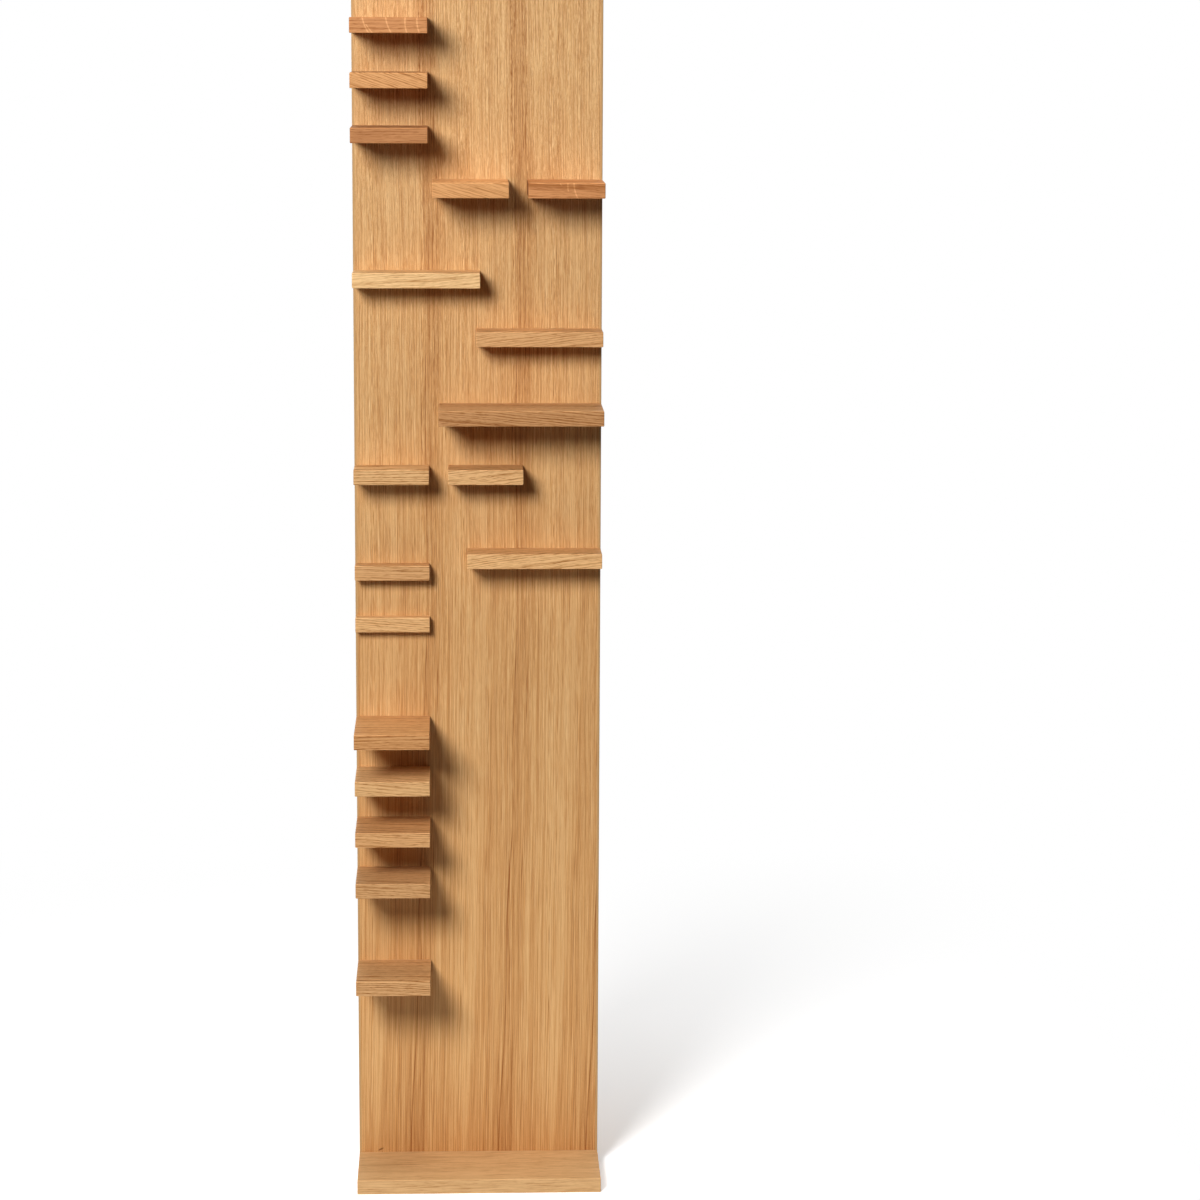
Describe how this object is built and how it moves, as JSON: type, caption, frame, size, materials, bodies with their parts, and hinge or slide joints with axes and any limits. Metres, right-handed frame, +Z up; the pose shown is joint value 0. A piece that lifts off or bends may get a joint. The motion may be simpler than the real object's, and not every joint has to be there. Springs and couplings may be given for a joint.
{
  "type": "wall shelf",
  "caption": "Tall narrow oak back panel standing on a base board, with small and wide ledges of many depths scattered over its front for displaying small things.",
  "frame": {"origin": "on the floor, at the middle of the whole shelf's width and depth", "axes": "+Z up along the panel, -Y to the front where the ledges point, +Y to the wall, +X to the right seen from the front"},
  "size_m": [0.33, 0.145, 1.827],
  "materials": {
    "oak_veneer": "oiled oak veneer, vertical grain, satin",
    "solid_oak": "oiled solid oak, planed, grain along each board, satin",
    "zinc_plated_steel": "bright zinc plating"
  },
  "bodies": {
    "root": {"back_panel": "oak_veneer", "base_board": "solid_oak", "ledge_01": "solid_oak", "ledge_02": "solid_oak", "ledge_03": "solid_oak", "ledge_04": "solid_oak", "ledge_05": "solid_oak", "ledge_06": "solid_oak", "ledge_07": "solid_oak", "ledge_08": "solid_oak", "ledge_09": "solid_oak", "ledge_10": "solid_oak", "ledge_11": "solid_oak", "ledge_12": "solid_oak", "ledge_13": "solid_oak", "ledge_14": "solid_oak", "ledge_15": "solid_oak", "ledge_16": "solid_oak", "ledge_17": "solid_oak", "ledge_18": "solid_oak", "base_board_screw_left": "zinc_plated_steel", "base_board_screw_middle": "zinc_plated_steel", "base_board_screw_right": "zinc_plated_steel", "ledge_01_screw_left": "zinc_plated_steel", "ledge_01_screw_right": "zinc_plated_steel", "ledge_02_screw_left": "zinc_plated_steel", "ledge_02_screw_right": "zinc_plated_steel", "ledge_03_screw_left": "zinc_plated_steel", "ledge_03_screw_right": "zinc_plated_steel", "ledge_04_screw_left": "zinc_plated_steel", "ledge_04_screw_right": "zinc_plated_steel", "ledge_05_screw_left": "zinc_plated_steel", "ledge_05_screw_right": "zinc_plated_steel", "ledge_06_screw_left": "zinc_plated_steel", "ledge_06_screw_right": "zinc_plated_steel", "ledge_07_screw_left": "zinc_plated_steel", "ledge_07_screw_right": "zinc_plated_steel", "ledge_08_screw_left": "zinc_plated_steel", "ledge_08_screw_right": "zinc_plated_steel", "ledge_09_screw_left": "zinc_plated_steel", "ledge_09_screw_right": "zinc_plated_steel", "ledge_10_screw_left": "zinc_plated_steel", "ledge_10_screw_right": "zinc_plated_steel", "ledge_11_screw_left": "zinc_plated_steel", "ledge_11_screw_right": "zinc_plated_steel", "ledge_12_screw_left": "zinc_plated_steel", "ledge_12_screw_right": "zinc_plated_steel", "ledge_13_screw_left": "zinc_plated_steel", "ledge_13_screw_right": "zinc_plated_steel", "ledge_14_screw_left": "zinc_plated_steel", "ledge_14_screw_right": "zinc_plated_steel", "ledge_15_screw_left": "zinc_plated_steel", "ledge_15_screw_right": "zinc_plated_steel", "ledge_16_screw_left": "zinc_plated_steel", "ledge_16_screw_right": "zinc_plated_steel", "ledge_17_screw_left": "zinc_plated_steel", "ledge_17_screw_right": "zinc_plated_steel", "ledge_18_screw_left": "zinc_plated_steel", "ledge_18_screw_right": "zinc_plated_steel"}
  },
  "joints": []
}
